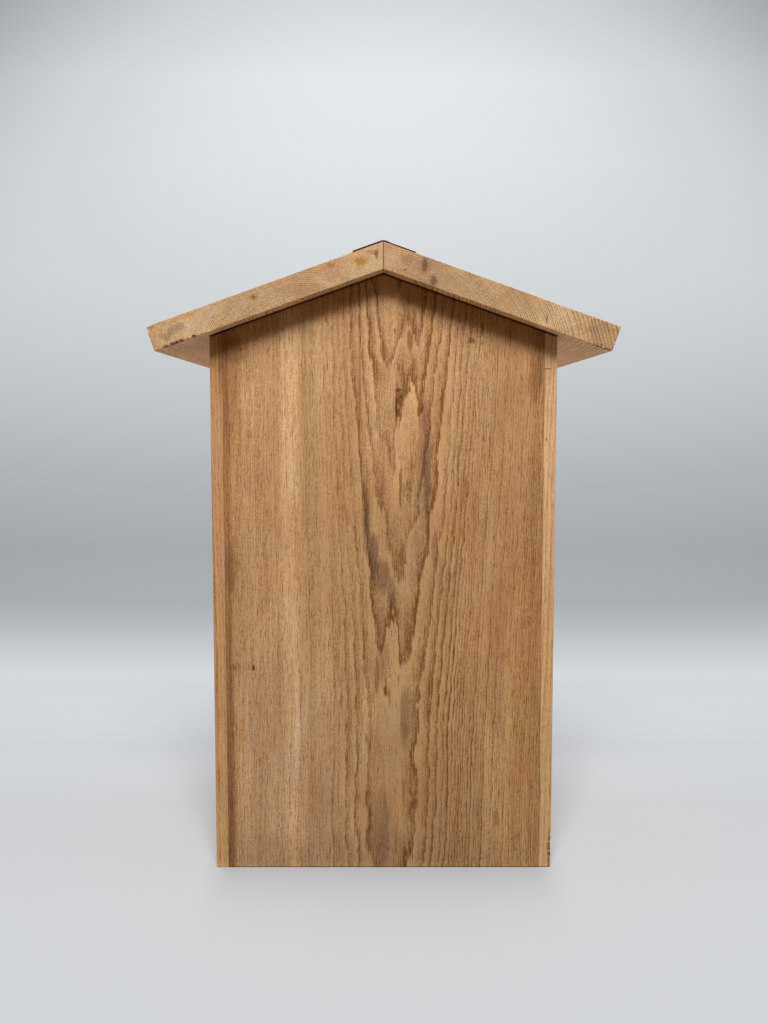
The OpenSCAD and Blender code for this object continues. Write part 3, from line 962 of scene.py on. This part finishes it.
battens = {"merge": 0.00001, "bevel": 0.0007, "segments": 2, "sharpFrom": 35}  # metres and degrees
for name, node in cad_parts.items():
    if not node.hide_render:
        node.data.materials.clear()
        node.data.materials.append(floorWood if name == "floor" else battenWood)
        node.modifiers.new("merge", "WELD").merge_threshold = battens["merge"]
        bevel = node.modifiers.new("eased edges", "BEVEL")
        bevel.width = battens["bevel"]
        bevel.segments = battens["segments"]
        bevel.angle_limit = math.radians(battens["sharpFrom"])
print("battens ready")


# stage, lights and camera

# some of these shape the painted shadow on the floor in front of the foot, its depth, reach and side edges,
# and the glow of the hidden floor beside the box
stage = {"floorHalf": 6, "wallY": 1.05, "wallHalf": 1.3, "wallTop": 2, "litFrom": 0.10, "litTo": 0.55,
         "middleY": 0.3, "farFade": (1.05, 1.9), "toneSpan": 1.6, "contact": 0.21, "contactReach": 0.042,
         "rimOut": 0.012, "rimIn": 0.014, "besideLift": 0.22, "paleFar": (207, 211, 214)}
floorTones = [(-0.50, 0.05), (-0.32, 0.07), (-0.20, 0.105), (-0.08, 0.115), (0.0, 0.125), (0.17, 0.21),
              (0.26, 0.37), (0.36, 0.53), (0.48, 0.68), (0.63, 0.60), (0.81, 0.50), (1.05, 0.418)]
bounceTones = [(-1.0, 0.10), (-0.75, 0.24), (-0.38, 0.24), (-0.26, 0.08), (-0.14, 0.08), (-0.12, 0.80),
               (0.6, 0.80)]
wallTones = [(0.0, 173), (0.1, 168), (0.2, 177), (0.4, 199), (0.6, 215), (0.8, 226), (0.95, 229),
             (1.08, 215)]
lamps = {"key": {"elevation": 42.5, "distance": 2.0, "width": 0.8, "height": 0.385, "share": 0.51},
         "key_above": {"elevation": 54.5, "distance": 2.0, "width": 0.8, "height": 0.50, "share": 0.34}}
aimZ = 0.3  # the height that the lamps are turned to
sky = {"front": 0.14, "back": 0.85, "overhead": 0.45}  # shares of the fill's light
view = {"lens": 36.88, "place": (0.0004, -0.8857, 0.3319), "down": 4.86, "roll": 0.02}


def seenDirectly(tree):
    # one for the rays that show a surface, and none for those that only carry its light
    rays = put(tree, "LightPath").outputs
    straight = calc("MAXIMUM", rays["Is Camera Ray"], rays["Is Glossy Ray"])
    return calc("MAXIMUM", straight, rays["Is Transmission Ray"])


def addSheet(name, corners, material):
    # one flat face of the stage
    mesh = bpy.data.meshes.new(name)
    mesh.from_pydata(corners, [], [(0, 1, 2, 3)])
    mesh.materials.append(material)
    sheet = addObject(name, mesh)


def stageTree(name):
    # a material without its usual shader, its node tree, and the place on the sheet in metres
    material = bpy.data.materials.new(name)
    material.use_nodes = True
    tree = material.node_tree
    tree.nodes.remove(tree.nodes["Principled BSDF"])
    return material, tree, split(put(tree, "TexCoord").outputs["Object"])


def tonesAlong(y, span, stops):
    # a ramp of colours by Y, from the first stop's place over the span
    low = stops[0][0]
    return ramp(scaleAdd(y, 1 / span, -low / span), [((place - low) / span, color) for place, color in stops])


def glowing(tree, color, glow):
    # a matt surface that also gives light of its own
    matt = put(tree, "BsdfDiffuse", {"Color": color}).outputs[0]
    return put(tree, "AddShader", {0: matt, 1: put(tree, "Emission", {"Color": glow}).outputs[0]}).outputs[0]


def setSurface(tree, share, hidden, shown):
    # the material's surface: shown by the share, hidden by the rest
    surface = put(tree, "MixShader", {0: share, 1: hidden, 2: shown}).outputs[0]
    tree.links.new(surface, tree.nodes["Material Output"].inputs["Surface"])


def makeFloor():
    # shown: a grey that keeps the object's shadow, with a painted shadow in front of the foot, and glows more
    # towards the wall. Otherwise a pale reflector, which beside the box also glows and lights the eaves from
    # below
    material, tree, place = stageTree("studio floor")
    tones = [(y, (tone * 0.96, tone, tone * 1.045, 1)) for y, tone in floorTones]
    glow = tonesAlong(place[1], stage["toneSpan"], tones)
    far = fade(lengthOf(combine(place[0], minus(place[1], stage["middleY"]))), *stage["farFade"])
    glow = mixColor(far, glow, paint(*stage["paleFar"]))
    share = times(fade(place[1], stage["litFrom"], stage["litTo"], 1.0, 0.0), minus(1.0, far))
    lit = mixColor(share, (0, 0, 0, 1), (0.465, 0.49, 0.52, 1))
    # painted shadow, for the contact shadow: a soft dark rim in front of the foot, depth * e^(-d / reach)
    away = calc("MAXIMUM", minus(outerY * 0.001, place[1]), 0.0)
    rim = calc("EXPONENT", calc("DIVIDE", away, -stage["contactReach"]))
    half = outerX * 0.001
    rim = times(rim, fade(calc("ABSOLUTE", place[0]), half + stage["rimOut"], half - stage["rimIn"]))
    rim = scaleAdd(rim, -stage["contact"], 1.0)
    shown = glowing(tree, tinted(lit, rim), tinted(glow, rim))
    tones = [(y, (tone * 1.05, tone, tone * (0.8 if y < -0.12 else 1), 1)) for y, tone in bounceTones]
    bounce = tonesAlong(place[1], stage["toneSpan"], tones)
    # beside the box the hidden floor reflects more and glows, lighting the eaves' undersides from below
    beside = times(fade(calc("ABSOLUTE", place[0]), 0.15, 0.24), fade(place[1], -0.22, -0.14))
    bounce = mixColor(beside, bounce, (0.95, 0.93, 0.91, 1))
    lift = tinted((*[stage["besideLift"]] * 3, 1), beside)
    setSurface(tree, seenDirectly(tree), glowing(tree, bounce, lift), shown)
    half = stage["floorHalf"]
    corners = [(-half, -half, 0), (half, -half, 0), (half, half, 0), (-half, half, 0)]
    addSheet("studio_floor", corners, material)


def makeWall():
    # a glowing backdrop that only the camera meets, and only from its front
    material, tree, place = stageTree("studio wall")
    top = wallTones[-1][0]
    glow = ramp(calc("DIVIDE", place[2], top), [(z / top, paint(v, v + 4, v + 7)) for z, v in wallTones])
    # the corners dim by 2x^2 times a share that grows with the height
    corner = times(times(place[0], place[0]), 2.0, clamp=True)
    high = calc("POWER", calc("DIVIDE", minus(place[2], 0.45), 0.63, clamp=True), 1.6)
    glow = tinted(glow, calc("ADD", times(corner, scaleAdd(high, -0.41, -0.07)), 1.0))
    beside = fade(calc("ABSOLUTE", place[0]), 0.85, stage["wallHalf"] - 0.05)
    glow = mixColor(beside, glow, paint(*stage["paleFar"]))
    seen = times(seenDirectly(tree), minus(1.0, put(tree, "NewGeometry").outputs["Backfacing"]))
    clear = put(tree, "BsdfTransparent").outputs[0]
    setSurface(tree, seen, clear, put(tree, "Emission", {"Color": glow}).outputs[0])
    y, half, top = stage["wallY"], stage["wallHalf"], stage["wallTop"]
    addSheet("studio_wall", [(-half, y, 0), (half, y, 0), (half, y, top), (-half, y, top)], material)


def addLamp(name, elevation, distance, width, height, share):
    # a soft box in front, turned to the upper part of the plain gable. share is its part of the light there,
    # so its power is share * pi^2 * distance^2 / cos(elevation)
    up = math.radians(elevation)
    lamp = bpy.data.lights.new(name, "AREA")
    lamp.shape = "RECTANGLE"
    lamp.size, lamp.size_y = width, height
    lamp.energy = math.pi ** 2 * distance ** 2 * share / math.cos(up)
    box = addObject(name, lamp)
    box.location = (0, outerY * 0.001 - distance * math.cos(up), aimZ + distance * math.sin(up))
    box.rotation_euler = (math.pi / 2 - up, 0, 0)


def makeWorld():
    # soft fill by direction: dim from the front, brighter from the sides and back. Shown as plain pale grey
    world = bpy.data.worlds.new("studio")
    world.use_nodes = True
    tree = world.node_tree
    way = split(put(tree, "TexCoord").outputs["Generated"])
    fill = fade(way[1], -0.8, 0.8, sky["front"], sky["back"])
    fill = times(fill, fade(way[2], 0.5, 1.0, 1.0, sky["overhead"]))
    tint = mixColor(fade(way[1], -0.45, 0.2), (1.14, 0.90, 0.48, 1), (0.97, 1.0, 1.03, 1))
    shown = mixColor(seenDirectly(tree), tinted(tint, fill), paint(*stage["paleFar"]))
    feed(tree, tree.nodes["Background"].inputs, {"Color": shown})
    bpy.context.scene.world = world


def makeCamera():
    # in front of the plain gable, looking a little down
    lens = bpy.data.cameras.new("camera")
    lens.lens = view["lens"]
    camera = addObject("camera", lens)
    camera.location = view["place"]
    camera.rotation_euler = (math.radians(90 - view["down"]), math.radians(view["roll"]), 0)
    bpy.context.scene.camera = camera


makeFloor()
makeWall()
for name, values in lamps.items():
    addLamp(name, **values)
makeWorld()
makeCamera()
bpy.context.scene.view_settings.view_transform = "Standard"
print("stage ready")
